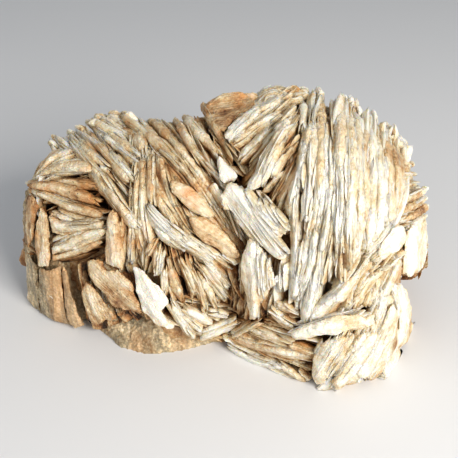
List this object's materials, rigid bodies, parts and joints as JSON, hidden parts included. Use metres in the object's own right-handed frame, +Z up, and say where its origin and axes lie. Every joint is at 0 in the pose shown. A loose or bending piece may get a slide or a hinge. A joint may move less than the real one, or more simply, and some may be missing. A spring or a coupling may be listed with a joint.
{
  "type": "barite mineral specimen",
  "caption": "Bladed barite crystal cluster: sheaves of thin cream and ochre plates grown together over a massive body with a flat broken foot.",
  "frame": {"origin": "on the flat foot, under the middle of the specimen", "axes": "+Z up from the foot, +X along the specimen's length towards its comb of long blades, -Y towards the side it is displayed by"},
  "size_m": [0.1586, 0.0948, 0.0878],
  "materials": {
    "barite": "dull to satin cream-white crystal edges with ochre and brown iron stain between them"
  },
  "bodies": {
    "root": {"barite_cluster": "barite"}
  },
  "joints": []
}
